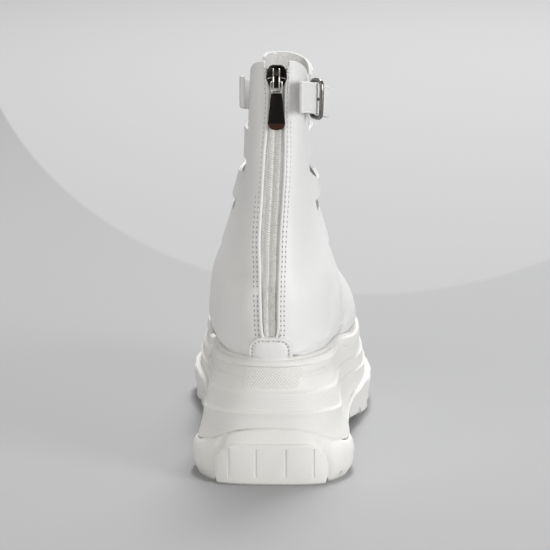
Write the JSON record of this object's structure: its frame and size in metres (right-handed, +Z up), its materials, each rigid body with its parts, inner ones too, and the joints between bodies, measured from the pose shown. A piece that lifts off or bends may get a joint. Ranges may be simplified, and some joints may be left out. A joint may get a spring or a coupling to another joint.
{
  "type": "caged platform sandal",
  "caption": "White caged ankle sandal with a back zip, an open toe, a buckled ankle strap and a thick ribbed platform sole, for the right foot.",
  "frame": {"origin": "centre of the bounding box in plan, on the floor", "axes": "+Y from heel to toe, +X to the wearer's right (the outer side, with the buckle), +Z up"},
  "size_m": [0.1018, 0.2652, 0.2171],
  "materials": {
    "sole_white": "matt",
    "upper_white": "satin",
    "lining_grey": "matt",
    "zip_grey": "matt",
    "gunmetal": "gloss",
    "chrome": "polished"
  },
  "bodies": {
    "shoe": {"ankle_strap": "upper_white", "buckle": "chrome", "buckle_prong": "chrome", "buckle_tab": "upper_white", "heel_tab": "upper_white", "insole": "lining_grey", "midsole": "sole_white", "outsole": "sole_white", "upper": "upper_white", "zip": "zip_grey", "zip_slider": "gunmetal"},
    "pull": {"zip_pull": "gunmetal"}
  },
  "joints": [
    {"name": "pull_swing", "type": "hinge", "parent": "shoe", "child": "pull", "pos_m": [0.00344, -0.12127, 0.2069], "axis": [-1, 0, 0], "range_deg": [0, 120]}
  ]
}
